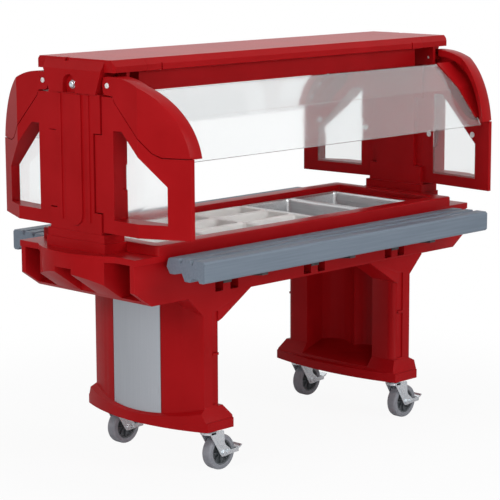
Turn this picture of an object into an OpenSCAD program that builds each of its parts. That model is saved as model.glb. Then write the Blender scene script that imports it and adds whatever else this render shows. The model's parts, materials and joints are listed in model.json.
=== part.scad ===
// Mobile salad bar: a moulded tub on two pedestals with casters, a glazed canopy and two tray rails.
// X runs along the length, Y from the front side (-Y) to the back side (+Y), Z up from the floor.

/* [Casters] */
// Distance from the floor to the underside of the pedestal foot
caster_h = 193; // [185:1:200]
// Diameter of the wheel over its tyre
wheel_d = 152; // [140:1:156]
// Width of the tyre
tyre_w = 48; // [40:1:52]
// Radial thickness of the tyre
tyre_t = 22; // [16:1:26]
// Distance that the wheel trails behind the swivel
caster_trail = 56; // [48:1:58]
// Distance from the axle to the brake's pivot
brake_reach = 27; // [24:1:32]
// Length of the brake pedal from its pivot to its tip
pedal_l = 84; // [76:1:90]
// Diameter of the wheel axle
axle_d = 12; // [10:1:14]
// Thickness of the yoke's legs
leg_t = 4; // [3:0.5:5]
// Length of the caster's top plate
plate_l = 114; // [100:1:124]
// Width of the caster's top plate
plate_w = 95; // [90:1:104]
// Distance of the swivels from the middle, along the length
caster_x = 597; // [590:1:610]
// Distance of the swivels from the middle, front to back
caster_y = 300; // [285:1:305]

/* [Pedestals] */
// Height of a pedestal
pedestal_h = 575; // [480:5:640]
// Thickness of the foot's flange
foot_t = 40; // [34:1:50]
// Half of the foot's size, front to back
foot_y = 374; // [360:1:390]
// Distance of the foot's outer corner from the middle of the tub
foot_out = 675; // [665:1:690]
// Distance of the foot's inner corner from the middle of the tub
foot_in = 522; // [515:1:535]
// How far the foot's outer edge bows out
foot_bow = 81; // [60:1:90]
// How far the foot's inner edge bows in
foot_bow_in = 50; // [30:1:60]
// Half of the column's size, front to back
column_y = 340; // [330:1:350]
// Distance of the column's inner face from the middle of the tub
column_in = 553; // [548:1:565]
// Distance of the column's outer corner from the middle of the tub
column_out = 658; // [650:1:664]
// How far the column's outer face bows out
column_bow = 82; // [60:1:88]
// Half of the width of the recess in the column's inner face
recess_y = 205; // [180:1:220]
// Half of the width of the brushed cover panel
panel_y = 146; // [120:1:180]
// Thickness of the brushed cover panel
panel_t = 2.5; // [1.5:0.5:4]

/* [Tub] */
// Height of the tub from its underside to the top of the lips
tub_h = 200; // [190:1:230]
// Height of the raised rim above the lips
rim_h = 42; // [30:1:55]
// How far the tub's sides stand back under the rim
side_inset = 8; // [5:1:12]
// Thickness of the lips
lip_t = 26; // [20:1:34]
// How far a lip's corners stand out from the rim
lip_reach = 118; // [112:1:130]
// How far a lip's middle bows out past its corners
lip_bow = 75; // [50:1:80]
// Half of the width of the bow
bow_half = 240; // [220:1:260]
// Length of rim between the last pan place and the rim's end
end_land = 120; // [100:1:140]
// Slope of the tub's cut-away ends, from level
end_slope = 35; // [32:1:40]
// Height of the well's ledge below the top of the rim
ledge_drop = 26; // [20:1:32]
// Thickness of the tub's floor
floor_t = 46; // [35:1:60]
// Width of the rim beside the pans
rim_side = 96.5; // [90:0.5:110]
// Clearance between the pans and the rim's opening
opening_gap = 21.5; // [12:0.5:24]
// Distance from the rim's end faces to the top opening
rim_end = 62; // [50:1:75]

/* [Pans] */
// Spacing of the pan places along the well
pan_pitch = 325; // [322:1:335]
// Length of a pan over its flange, front to back
pan_l = 527; // [520:1:534]
// Depth of the pans
pan_depth = 100; // [65:1:125]
// Wall thickness of the pans
pan_t = 3; // [2:0.5:4]
// Width of a pan's flange
flange_w = 12; // [10:1:14]
// Width of the divider bars between the pan places
bar_w = 18; // [14:1:20]

/* [Posts and wings] */
// Height of the posts with their feet
post_h = 640; // [600:5:700]
// Thickness of the posts along the length
post_t = 100; // [90:1:110]
// Half of a post's width where the wings hook on
post_neck = 115; // [105:1:125]
// Half of a post's width above and below the hooks
post_half = 158; // [150:1:165]
// Distance from the post's foot to the wings' lower edge
wing_gap = 88; // [80:1:110]
// Half of the canopy's size over the wings, front to back
wing_y = 575; // [560:1:590]
// Height of a wing's outer edge
wing_edge_h = 319; // [300:1:340]
// Thickness of a wing at its outer edge
wing_edge_t = 18; // [16:1:22]
// Width of the frame below a window
window_sill = 56; // [45:1:70]
// Thickness of the window panes
pane_t = 5; // [4:0.5:6]

/* [Top beam] */
// Height of the beam's cap above the posts
cap_h = 139; // [130:1:150]
// Half of the width of the beam's top face
beam_top_y = 218; // [200:1:222]
// Half of the beam's full width
beam_y = 239; // [230:1:242]
// Width of the chamfer along the cap's top edge
cap_chamfer = 25; // [20:1:30]
// Depth of the beam's side band
beam_band = 24; // [18:1:28]
// Length of one end cap
cap_l = 193; // [170:1:220]
// How far the cap's top stops short of the face below it
cap_setback = 18; // [10:1:22]

/* [Guards] */
// Radius of the quarter-round guard arms
arm_r = 353; // [350:1:355]
// Width of a guard arm's curved band
arm_band_w = 65; // [50:1:66]
// Thickness of a guard arm's side wall
arm_wall = 22; // [16:1:26]
// Thickness of the clear guard panels
guard_t = 5; // [4:0.5:6]
// Half of the length of the clear guard panels
guard_x = 905; // [896:1:912]
// Height of the arm's crown above its pivot
arm_crown = 36; // [30:1:40]
// Diameter of the guard pivot bolts
pivot_d = 12; // [10:1:14]

/* [Tray rails] */
// Half of a tray rail's length
rail_x = 898; // [800:1:930]
// Width of a tray rail
rail_w = 214; // [200:1:230]
// Height of a tray rail's outer face
rail_h = 86; // [84:1:95]
// Distance from the tub's side to the rail's hinge pins
hinge_out = 30; // [28:1:36]
// Height from the rail's hinge pins to the top of the lips
hinge_drop = 100; // [90:1:110]
// Spacing of the rail's support arms
arm_pitch = 535; // [500:1:560]
// Width of a support arm
arm_w = 34; // [28:1:38]
// Diameter of the hinge pins
pin_d = 10; // [8:1:12]

/* [Hidden] */
$fn = 64;
well_count = 5;
third_places = 3;
run_gap = 0.3;
bore_gap = 0.06;

red = "firebrick";
slate = "slategray";
steel = "lightsteelblue";
white = "ghostwhite";
clear = [0.8, 0.9, 0.95, 0.35];

// Heights that follow from the driving sizes
pedestal_top = caster_h + pedestal_h;
lip_z = pedestal_top + tub_h;
rim_z = lip_z + rim_h;
ledge_z = rim_z - ledge_drop;
post_z = lip_z + post_h;
cap_z = post_z + cap_h;
wing_z = lip_z + wing_gap;
wing_top = wing_z + wing_edge_h;
band_z = cap_z - cap_chamfer - beam_band;

// Plan sizes that follow
tub_y = pan_l / 2 + rim_side;
tub_w = 2 * tub_y;
side_y = tub_y - side_inset;
well_x = well_count * pan_pitch / 2;
rim_x = well_x + end_land;
lip_x = rim_x + lip_reach;
bow_r = (bow_half * bow_half + lip_bow * lip_bow) / (2 * lip_bow);
post_out = lip_x - 4;
post_in = post_out - post_t;
cap_x = lip_x + 5;
wing_out = post_out - 6;

// Where the guards and wings meet
pivot_y = post_half + 40;
pivot_z = post_z + 39;
arc_y = pivot_y + 24;
arc_z = pivot_z + arm_crown - arm_r;
fold_y = 372;
seat_z = wing_top;

// The rail's hinge line
hinge_y = tub_y + hinge_out;
hinge_z = lip_z - hinge_drop;
rail_z = lip_z - 1;
rail_in = hinge_y - 8;

// ---------- shared shapes ----------

module block(low, high) {
  translate(low) cube(high - low);
}

// A rectangle about the origin with round corners
module round_rect(w, h, r) {
  square([w - 2 * r, h], center = true);
  square([w, h - 2 * r], center = true);
  for (sx = [-1, 1], sy = [-1, 1])
    translate([sx * (w / 2 - r), sy * (h / 2 - r)]) circle(r);
}

// A profile drawn in Y and Z, drawn out along X between two places
module along_x(x0, x1) {
  translate([x0, 0, 0]) rotate([90, 0, 90]) linear_extrude(x1 - x0) children();
}

// A profile drawn in X and Z, drawn out along Y between two places
module along_y(y0, y1) {
  translate([0, y1, 0]) rotate([90, 0, 0]) linear_extrude(y1 - y0) children();
}

// The end at +X or its mirror at -X, and the front at -Y or its mirror
module end_side(s) { mirror([s < 0 ? 1 : 0, 0, 0]) children(); }
module back_side(s) { mirror([0, s < 0 ? 1 : 0, 0]) children(); }

// ---------- tub ----------

module lip_plan(half_w) {
  square([2 * lip_x, 2 * half_w], center = true);
  for (s = [-1, 1]) intersection() {
    translate([s * (lip_x + lip_bow - bow_r), 0]) circle(bow_r, $fn = 180);
    translate([s * lip_x, 0]) square([2 * lip_bow + 2, 2 * bow_half], center = true);
  }
}

// Side view of the body, with its cut-away ends
module body_profile() {
  reach = lip_x + lip_bow;
  slope_h = lip_z - lip_t - 57 - pedestal_top;
  foot_x = reach - slope_h / tan(end_slope);
  polygon([
    [-foot_x, pedestal_top], [foot_x, pedestal_top],
    [reach + 1, pedestal_top + slope_h], [reach + 1, lip_z],
    [-reach - 1, lip_z], [-reach - 1, pedestal_top + slope_h]
  ]);
}

pocket_in = 200;
pocket_out = side_y - 26;
pocket_back = lip_x - 145;
pocket_top = lip_z - lip_t;
pocket_floor = pedestal_top + 18;
grip_half = 50;
grip_back = lip_x - 70;
grip_top = pocket_top - 38;

module handholds() {
  far = lip_x + lip_bow + 10;
  for (s = [-1, 1]) {
    block([pocket_back, s < 0 ? -pocket_out : pocket_in, pocket_floor],
          [far, s < 0 ? -pocket_in : pocket_out, pocket_top]);
  }
  block([grip_back, -grip_half, pocket_floor], [far, grip_half, grip_top]);
}

well_r = 24;
well_half_x = well_x - flange_w;
well_half_y = pan_l / 2 - flange_w + 2;
well_floor = pedestal_top + floor_t;
drain_x = 0;
drain_d = 26;
slot_w = 46;
slot_depth = 55;
slot_low = pedestal_top + 9;
slot_high = hinge_z + 34;
web_half = 21;

module opening_plan(gap = 0) {
  round_rect(2 * (rim_x - rim_end - gap), pan_l + 2 * (opening_gap - gap), 14 - gap);
}

module tub() {
  color(red) difference() {
    union() {
      intersection() {
        translate([0, 0, pedestal_top]) linear_extrude(tub_h - lip_t / 2) lip_plan(side_y);
        along_y(-tub_y, tub_y) body_profile();
      }
      translate([0, 0, lip_z - lip_t]) linear_extrude(lip_t) lip_plan(tub_y);
      // Ledge that the pans rest on, inside the rim
      translate([0, 0, lip_z - 1]) linear_extrude(ledge_z - lip_z + 1) opening_plan(0.1);
    }
    translate([0, 0, well_floor]) linear_extrude(rim_h + tub_h)
      round_rect(2 * well_half_x, 2 * well_half_y, well_r);
    for (i = [1 : well_count - 1])
      translate([-well_x + i * pan_pitch, 0, ledge_z - bar_h])
        linear_extrude(rim_h) square([bar_w + 0.6, 2 * bar_half + 0.6], center = true);
    for (s = [-1, 1]) end_side(s) handholds();
    for (s = [-1, 1], i = [-1 : 1], k = [-1, 1])
      translate([i * arm_pitch + k * (web_half + slot_w / 2), 0, 0]) back_side(s)
        block([-slot_w / 2, tub_y - slot_depth, slot_low], [slot_w / 2, tub_y + 1, slot_high]);
    translate([drain_x, 0, pedestal_top - 1]) cylinder(h = floor_t + 2, d = drain_d);
  }
}

// Raised rim round the opening, standing on the tub's lip: two long bars and the end bars between them
module rim_plan(low, high) {
  intersection() {
    difference() {
      round_rect(2 * rim_x, tub_w, 22);
      opening_plan();
    }
    translate([-rim_x, low]) square([2 * rim_x, high - low]);
  }
}

module tub_rim() {
  half = pan_l / 2 + opening_gap;
  color(red) translate([0, 0, lip_z]) linear_extrude(rim_h) {
    for (s = [-1, 1]) back_side(s) rim_plan(half, tub_y);
    rim_plan(0.1 - half, half - 0.1);
  }
}

module drain_plug() {
  color("dimgray") translate([drain_x, 0, 0]) {
    translate([0, 0, pedestal_top - 12]) cylinder(h = 12, d = drain_d + 16);
    translate([0, 0, pedestal_top]) cylinder(h = floor_t - 6, d = drain_d - 0.4);
    translate([-4, -drain_d / 2, pedestal_top - 20]) cube([8, drain_d, 8]);
  }
}

// ---------- pedestals ----------

column_r = (column_y * column_y + column_bow * column_bow) / (2 * column_bow);
column_cx = column_out + column_bow - column_r;
foot_r = (foot_y * foot_y + foot_bow * foot_bow) / (2 * foot_bow);
foot_r_in = (foot_y * foot_y + foot_bow_in * foot_bow_in) / (2 * foot_bow_in);
foot_top = caster_h + foot_t;
flare_h = 55;
haunch_in = 172;
haunch_out = 84;
haunch_h = 112;
haunch_out_h = 90;
haunch_y = 250;

module foot_plan() {
  intersection() {
    translate([foot_out + foot_bow - foot_r, 0]) circle(foot_r, $fn = 240);
    translate([foot_in - foot_bow_in + foot_r_in, 0]) circle(foot_r_in, $fn = 240);
    translate([0, -foot_y]) square([2 * foot_out, 2 * foot_y]);
  }
}

module column_plan() {
  width = 2 * (column_out - column_in + column_bow);
  intersection() {
    translate([column_cx, 0]) circle(column_r, $fn = 240);
    translate([column_in + width / 2, 0]) round_rect(width, 2 * column_y, 44);
  }
}

// Two shallow scoops that meet in an upright ridge
module recess_plan() {
  back = column_out - 10;
  scoop_r = recess_y * 1.07;
  translate([column_in - 60, -recess_y]) square([back - column_in + 60, 2 * recess_y]);
  for (s = [-1, 1]) intersection() {
    translate([back + 37 - scoop_r, s * recess_y / 2]) circle(scoop_r, $fn = 160);
    translate([column_in - 60, -recess_y]) square([column_bow + 200, 2 * recess_y]);
  }
}

// Skin of the column's bowed face, for the cover panel and its seat
module bowed_skin(depth, half_y) {
  intersection() {
    difference() {
      translate([column_cx, 0]) circle(column_r + 1, $fn = 240);
      translate([column_cx, 0]) circle(column_r - depth, $fn = 240);
    }
    translate([column_in, -half_y]) square([column_out - column_in + column_bow + 10, 2 * half_y]);
  }
}

groove_x = column_in + 40;
groove_w = 34;
groove_depth = 6;

module pedestal_shape() {
  difference() {
    union() {
      translate([0, 0, caster_h]) linear_extrude(foot_t) foot_plan();
      translate([0, 0, caster_h]) linear_extrude(pedestal_h) column_plan();
      intersection() {
        translate([0, 0, foot_top]) linear_extrude(flare_h) foot_plan();
        along_x(foot_in - foot_bow_in, foot_out + foot_bow) polygon([
          [-foot_y + 6, foot_top], [foot_y - 6, foot_top],
          [column_y, foot_top + flare_h], [-column_y, foot_top + flare_h]]);
        along_y(-foot_y, foot_y) polygon([
          [column_in - 42, foot_top], [foot_out + foot_bow, foot_top],
          [column_out - 3, foot_top + flare_h], [column_in, foot_top + flare_h]]);
      }
      for (s = [-1, 1]) back_side(s) {
        along_y(recess_y, column_y) polygon([
          [column_in + 50, pedestal_top - haunch_h - 20], [column_in, pedestal_top - haunch_h],
          [column_in - haunch_in, pedestal_top - 4], [column_in - haunch_in, pedestal_top],
          [column_in + 50, pedestal_top]]);
        along_y(haunch_y, column_y) polygon([
          [column_out - 40, pedestal_top - haunch_out_h], [column_out, pedestal_top - haunch_out_h],
          [column_out + haunch_out, pedestal_top - 8], [column_out + haunch_out, pedestal_top],
          [column_out - 40, pedestal_top]]);
      }
    }
    difference() {
      translate([0, 0, foot_top + 4]) linear_extrude(pedestal_h) recess_plan();
      along_y(-recess_y - 1, recess_y + 1) polygon([
        [column_in - 70, foot_top], [column_out + 40, foot_top],
        [column_out + 40, foot_top + 72], [column_in - 52, foot_top + 4]]);
    }
    translate([0, 0, foot_top]) linear_extrude(pedestal_h) bowed_skin(panel_t + 0.5, panel_y + 4);
    for (s = [-1, 1]) back_side(s)
      block([groove_x - groove_w / 2, column_y - groove_depth, foot_top + flare_h + 8],
            [groove_x + groove_w / 2, column_y + 1, pedestal_top - 76]);
  }
  for (s = [-1, 1]) back_side(s)
    block([groove_x - groove_w / 2, column_y - groove_depth, pedestal_top - 262],
          [groove_x + groove_w / 2, column_y + 3, pedestal_top - 252]);
}

module left_pedestal() { color(red) end_side(-1) pedestal_shape(); }
module right_pedestal() { color(red) end_side(1) pedestal_shape(); }

module pedestal_panel() {
  translate([0, 0, foot_top + 0.5]) linear_extrude(pedestal_h - foot_t - 2) intersection() {
    difference() {
      translate([column_cx, 0]) circle(column_r - 0.3, $fn = 240);
      translate([column_cx, 0]) circle(column_r - 0.3 - panel_t + 0.1, $fn = 240);
    }
    translate([column_in, -panel_y]) square([column_out - column_in + column_bow + 10, 2 * panel_y]);
  }
}

module pedestal_panels() { color("silver") for (side = [-1, 1]) end_side(side) pedestal_panel(); }

// ---------- posts ----------

hook_low = wing_z + 74;
hook_high = post_z - 156;
step_h = 35;
base_h = rim_h;
seam_w = 4;
seam_depth = 13;
badge_half = 48;
badge_z = lip_z + 150;

module post_shape() {
  block([rim_x + 0.5, -post_half - 22, lip_z], [post_out + 6, post_half + 22, lip_z + base_h]);
  block([rim_x + 6, -post_half - 16, lip_z + base_h], [post_out + 2, post_half + 16, lip_z + base_h + step_h]);
  block([post_in, -post_neck, lip_z + base_h + step_h], [post_out, post_neck, post_z]);
  for (z = [[lip_z + base_h + step_h, hook_low], [hook_high, post_z]])
    block([post_in, -post_half, z[0]], [post_out, post_half, z[1]]);
  // Raised panel with a round lower end
  along_x(post_out - 1, post_out + 7) {
    translate([0, badge_z]) circle(badge_half);
    translate([-badge_half, badge_z]) square([2 * badge_half, post_z - 6 - badge_z]);
  }
  // Upright beads beside it
  for (s = [-1, 1])
    block([post_out - 1, s * 86 - 8, badge_z - 30], [post_out + 4, s * 86 + 8, post_z - 6]);
}

module left_post() { color(red) end_side(-1) post_shape(); }
module right_post() { color(red) end_side(1) post_shape(); }

// ---------- wings ----------

edge_out = rim_x + 13;
edge_in = edge_out - wing_edge_t;
root_in = post_out - 81;
slope_top = post_z - 28;
elbow_y = wing_y - 113;
crest_y = pivot_y + 40;
window_in = post_half + 71;
window_out = wing_y - 91;
window_low = wing_z + window_sill;
window_high = hook_high + 18;
window_step = window_low + 152;

// Plan of a wing: flat near the post, then drawn in to a thin outer edge
module wing_plan(out_gap = 0) {
  polygon([
    [wing_out - out_gap, 0], [wing_out - out_gap, fold_y], [edge_out - out_gap, wing_y + 1],
    [edge_in, wing_y + 1], [root_in, post_half], [root_in, 0]]);
}

// Side view of a wing, drawn back by a gap from the post's edges
module wing_outline(gap) {
  neck = post_neck + gap;
  root = post_half + gap;
  polygon([
    [root, wing_z], [wing_y, wing_z], [wing_y, wing_top], [elbow_y, wing_top],
    [elbow_y - 38, wing_top + 17], [crest_y, slope_top], [crest_y - 10, post_z - 6],
    [root, post_z - 6], [root, hook_high - gap], [neck, hook_high - gap],
    [neck, hook_low + gap], [root, hook_low + gap]]);
}

module window_outline(grow = 0) {
  slant = grow * tan(22.5);
  polygon([
    [window_in - grow, window_low - grow], [window_out + grow, window_low - grow],
    [window_out + grow, window_step + slant], [window_in + 49 + slant, window_high + grow],
    [window_in - grow, window_high + grow]]);
}

// Turns a slab of the window's outline to lie along the wing's inner face
wing_turn = atan((root_in - edge_in) / (wing_y + 1 - post_half));
module on_inner_face(depth0, depth1) {
  translate([root_in, post_half, 0]) rotate([0, 0, wing_turn]) translate([0, -post_half, 0])
    along_x(depth0, depth1) children();
}

rebate = pane_t + 3;

module wing_shape() {
  difference() {
    intersection() {
      union() {
        along_x(edge_in - 1, wing_out - seam_depth) wing_outline(0.5);
        along_x(wing_out - seam_depth - 1, wing_out + 1) wing_outline(seam_w);
      }
      translate([0, 0, wing_z - 1]) linear_extrude(post_z) wing_plan();
    }
    along_x(edge_in - 40, wing_out + 40) window_outline();
    // Room for the catch beside the post
    along_x(edge_in - 40, root_in + 24) translate([window_in - 12, window_low + 116]) square([20, 102]);
    on_inner_face(-20, rebate) window_outline(8);
  }
}

module left_front_wing() { color(red) end_side(-1) back_side(-1) wing_shape(); }
module left_back_wing() { color(red) end_side(-1) back_side(1) wing_shape(); }
module right_front_wing() { color(red) end_side(1) back_side(-1) wing_shape(); }
module right_back_wing() { color(red) end_side(1) back_side(1) wing_shape(); }

module four_corners() {
  for (sx = [-1, 1], sy = [-1, 1]) end_side(sx) back_side(sy) children();
}

module window_panes() {
  color(clear) four_corners()
    on_inner_face(rebate - pane_t - 0.2, rebate - 0.2) window_outline(7.5);
}

// Screws in the wing's inner face that clamp the pane by its edge
module window_screws() {
  color(white) four_corners() {
    for (p = [[window_out - 8, window_step + 43], [window_in - 30, window_step + 24]])
      on_inner_face(-5, -0.05) translate(p) circle(d = 26);
  }
}

// ---------- top beam and end caps ----------

beam_x = cap_x - cap_l;
web_t = 16;
boss_d = 26;
bracket_top = post_half + 19;
bracket_low = post_half - 16;
recess_r = 38;
recess_y0 = 18;
lock_z = post_z + 32;

module beam_profile() {
  polygon([
    [-beam_top_y, cap_z], [-beam_y, cap_z - cap_chamfer], [-beam_y, band_z],
    [-beam_y + 14, band_z - 5], [-pivot_y + 10, band_z - 5], [-pivot_y + 10, post_z + 5],
    [pivot_y - 10, post_z + 5], [pivot_y - 10, band_z - 5], [beam_y - 14, band_z - 5],
    [beam_y, band_z], [beam_y, cap_z - cap_chamfer], [beam_top_y, cap_z]]);
}

module top_beam() {
  color(red) difference() {
    along_x(-beam_x + 0.5, beam_x - 0.5) beam_profile();
    // Shadow groove near each end of the side bands
    for (sx = [-1, 1], sy = [-1, 1]) end_side(sx) back_side(sy)
      block([beam_x - 85, beam_y - 5, band_z - 6], [beam_x - 77, beam_y + 1, cap_z - cap_chamfer + 3]);
  }
}

module end_cap_shape() {
  difference() {
    union() {
      intersection() {
        along_x(beam_x, cap_x) polygon([
          [-beam_top_y, cap_z], [-beam_y, cap_z - cap_chamfer], [-beam_y, band_z],
          [beam_y, band_z], [beam_y, cap_z - cap_chamfer], [beam_top_y, cap_z]]);
        translate([0, 0, band_z]) linear_extrude(cap_z - band_z) polygon([
          [beam_x, -beam_y], [cap_x - cap_setback - 8, -beam_y], [cap_x - cap_setback, -beam_y + 10],
          [cap_x - cap_setback, beam_y - 10], [cap_x - cap_setback - 8, beam_y], [beam_x, beam_y]]);
      }
      // Face block, leaning back into the cap's top edge
      intersection() {
        along_x(post_in, cap_x) polygon([
          [-bracket_top - 5, cap_z - 6], [-bracket_top, band_z + 1], [-bracket_low, post_z],
          [bracket_low, post_z], [bracket_top, band_z + 1], [bracket_top + 5, cap_z - 6]]);
        along_y(-beam_y, beam_y) polygon([
          [post_in, post_z], [cap_x, post_z], [cap_x, band_z + 4],
          [cap_x - cap_setback, cap_z - 8], [post_in, cap_z - 8]]);
      }
      block([post_in, -beam_y + 12, post_z + 5], [post_in + web_t, beam_y - 12, band_z + 1]);
      for (s = [-1, 1]) translate([post_in + 1, s * pivot_y, pivot_z]) rotate([0, 90, 0])
        cylinder(h = wing_out - arm_wall - run_gap - post_in - 1, d = boss_d);
    }
    // Recess for the cap bolt, open below
    along_x(cap_x - 22, cap_x + 1) {
      translate([recess_y0, lock_z + 4]) circle(recess_r);
      translate([recess_y0 - recess_r, post_z - 1]) square([2 * recess_r, lock_z + 5 - post_z]);
    }
    block([cap_x - cap_setback - 10, 34, cap_z - 14], [cap_x + 1, 58, cap_z + 1]);
    for (s = [-1, 1]) translate([post_in - 1, s * pivot_y, pivot_z]) rotate([0, 90, 0])
      cylinder(h = post_t, d = pivot_d + 2 * bore_gap);
    translate([post_in + 10, recess_y0, lock_z]) rotate([0, 90, 0]) cylinder(h = post_t, d = 16.2);
  }
}

module left_end_cap() { color(red) end_side(-1) end_cap_shape(); }
module right_end_cap() { color(red) end_side(1) end_cap_shape(); }

// Guard pivot bolts and the bolt in each end cap
module canopy_bolts() {
  color(white) for (sx = [-1, 1]) end_side(sx) {
    for (s = [-1, 1]) translate([0, s * pivot_y, pivot_z]) rotate([0, 90, 0]) {
      translate([0, 0, post_in + 2]) cylinder(h = wing_out + run_gap - post_in - 2, d = pivot_d);
      translate([0, 0, wing_out + run_gap]) cylinder(h = 5, d = pivot_d + 10);
    }
    translate([0, recess_y0, lock_z]) rotate([0, 90, 0]) {
      translate([0, 0, post_in + 12]) cylinder(h = cap_x - 22 - post_in - 12, d = 16);
      translate([0, 0, cap_x - 22]) cylinder(h = 14, d = 34);
    }
  }
}

// ---------- guards ----------

// A place under the arm: its share of the arm's radius, at an angle above level
function under_arm(share, angle) = [arc_y, arc_z] + share * arm_r * [cos(angle), sin(angle)];
guard_top = under_arm(0.854, 76.4);
guard_bend = under_arm(0.782, 43.5);
guard_knee = under_arm(0.871, 11.8);
guard_lip = under_arm(0.925, 5.6);

// The points of a line moved sideways, to the left of its run for a positive distance
function unit(v) = v / norm(v);
function left_of(v) = [-v[1], v[0]];
function moved(line, d) = [for (i = [0 : len(line) - 1])
  let (a = unit(line[min(i + 1, len(line) - 1)] - line[min(i, len(line) - 2)]),
       b = unit(line[max(i, 1)] - line[max(i - 1, 0)]),
       m = unit(left_of(a) + left_of(b)))
  line[i] + m * d / (m * left_of(a))];
function backwards(line) = [for (i = [len(line) - 1 : -1 : 0]) line[i]];
function strip(line, d0, d1) = concat(moved(line, d0), backwards(moved(line, d1)));

guard_line = [guard_top, guard_bend, guard_knee, guard_lip];
rib_line = [guard_top, guard_bend, guard_knee];

module arm_outline(gap) {
  intersection() {
    translate([arc_y, arc_z]) circle(arm_r, $fn = 240);
    polygon([
      [bracket_top + 5, band_z - 3], [pivot_y - 30, pivot_z + 8], [pivot_y - 26, pivot_z - 29],
      [pivot_y - 16, post_z + 2], [crest_y - 11, post_z - 2], [crest_y + 2, slope_top + 3],
      [elbow_y - 36, seat_z + 21], [elbow_y + 2, seat_z + gap],
      [wing_y + 30, seat_z + gap], [wing_y + 30, band_z + 40], [bracket_top + 5, band_z + 40]]);
  }
}

// Plan of a layer of the arm, between two depths in from the wing's outer face
module arm_plan(near, far) {
  polygon([
    [wing_out - near, 0], [wing_out - near, fold_y], [edge_out - near, wing_y + 1], [edge_out - near, wing_y + 30],
    [edge_out - far, wing_y + 30], [edge_out - far, wing_y + 1],
    [wing_out - far, fold_y], [wing_out - far, 0]]);
}

arm_band = 30;
rib_t = 8;

module guard_arm_shape() {
  difference() {
    union() {
      // Side wall, its lower edge standing off the wing outside and seated on it inside
      intersection() {
        along_x(edge_in - 80, wing_out + 1) arm_outline(seam_w);
        translate([0, 0, seat_z]) linear_extrude(post_z) arm_plan(0, arm_wall);
      }
      intersection() {
        along_x(edge_in - 80, wing_out) arm_outline(run_gap);
        translate([0, 0, seat_z]) linear_extrude(post_z) arm_plan(seam_depth, arm_wall);
      }
      intersection() {
        along_x(edge_in - 80, wing_out) difference() {
          arm_outline(run_gap);
          translate([arc_y, arc_z]) circle(arm_r - arm_band, $fn = 240);
          translate([0, seat_z]) square([beam_y - 5, post_z]);
        }
        translate([0, 0, seat_z]) linear_extrude(post_z) arm_plan(seam_depth, arm_band_w);
      }
      // Rib that the clear panel's end is screwed to
      intersection() {
        along_x(guard_x - 16, wing_out) polygon(strip(rib_line, run_gap, rib_t));
        translate([0, 0, seat_z + run_gap]) linear_extrude(post_z) polygon([
          [guard_x - 16, 0], [wing_out - 2, 0], [wing_out - 2, fold_y],
          [edge_out - 2, wing_y], [guard_x - 16, wing_y]]);
      }
    }
    translate([post_in, pivot_y, pivot_z]) rotate([0, 90, 0]) cylinder(h = post_t + 20, d = pivot_d + 2 * bore_gap);
  }
}

module left_front_guard_arm() { color(red) end_side(-1) back_side(-1) guard_arm_shape(); }
module right_front_guard_arm() { color(red) end_side(1) back_side(-1) guard_arm_shape(); }
module left_back_guard_arm() { color(red) end_side(-1) back_side(1) guard_arm_shape(); }
module right_back_guard_arm() { color(red) end_side(1) back_side(1) guard_arm_shape(); }

module guard_panel_shape() {
  along_x(-guard_x, guard_x) polygon(strip(guard_line, 0, -guard_t));
}

module front_guard_panel() { color(clear) back_side(-1) guard_panel_shape(); }
module back_guard_panel() { color(clear) back_side(1) guard_panel_shape(); }

// Screws through the clear panel into the arms' ribs, heads inside
module guard_screws_shape() {
  for (sx = [-1, 1]) end_side(sx) for (i = [0, 1], f = [0.25, 0.75]) {
    a = rib_line[i];
    d = rib_line[i + 1] - a;
    p = a + d * f;
    translate([guard_x - 8, p[0], p[1]]) rotate([atan2(d[1], d[0]), 0, 0])
      translate([0, 0, -guard_t - 3.05]) cylinder(h = 3, d = 11);
  }
}

module front_guard_screws() { color(white) back_side(-1) guard_screws_shape(); }
module back_guard_screws() { color(white) back_side(1) guard_screws_shape(); }

// ---------- tray rails ----------

// Section of the rail: three ridges above, three feet below
module rail_profile() {
  o = rail_in;
  w = rail_w;
  t = rail_z;
  low = rail_z - rail_h;
  polygon([
    [o - 6, t - 40], [o + 4, t - 8], [o + 14, t - 2],
    [o + 0.30 * w, t - 1], [o + 0.36 * w, t - 22], [o + 0.42 * w, t],
    [o + 0.60 * w, t + 1], [o + 0.66 * w, t - 21], [o + 0.72 * w, t + 1],
    [o + w - 8, t + 1], [o + w, t - 7],
    [o + w, low + 8], [o + w - 8, low], [o + w - 32, low],
    [o + w - 42, low + 14], [o + 0.66 * w, low + 14],
    [o + 0.60 * w, low - 4], [o + 0.46 * w, low - 4],
    [o + 0.38 * w, low + 28], [o + 0.18 * w, low + 18], [o + 0.06 * w, low + 18]]);
}

module front_tray_rail() { color(slate) back_side(-1) along_x(-rail_x, rail_x) rail_profile(); }
module back_tray_rail() { color(slate) back_side(1) along_x(-rail_x, rail_x) rail_profile(); }

ear_t = 5;
ear_r = 13;
arm_top = rail_z - rail_h - 4.2;

// One bracket for each support arm: a plate on the tub's web, two ears and the hinge pin
module rail_bracket() {
  half = arm_w / 2 + 0.5;
  block([-half - ear_t, side_y, hinge_z - 60], [half + ear_t, side_y + 5, hinge_z + 24]);
  difference() {
    for (s = [-1, 1]) along_x(s < 0 ? -half - ear_t : half, s < 0 ? -half : half + ear_t) {
      translate([hinge_y, hinge_z]) circle(ear_r);
      polygon([[side_y + 4, hinge_z - 26], [hinge_y, hinge_z - ear_r], [hinge_y, hinge_z + ear_r], [side_y + 4, hinge_z + 20]]);
    }
    translate([-half - ear_t - 1, hinge_y, hinge_z]) rotate([0, 90, 0])
      cylinder(h = 2 * (half + ear_t + 1), d = pin_d + 2 * bore_gap);
  }
  translate([-half - ear_t - 6, hinge_y, hinge_z]) rotate([0, 90, 0]) {
    cylinder(h = 2 * (half + ear_t + 6), d = pin_d);
    cylinder(h = 5, d = pin_d + 6);
  }
}

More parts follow.
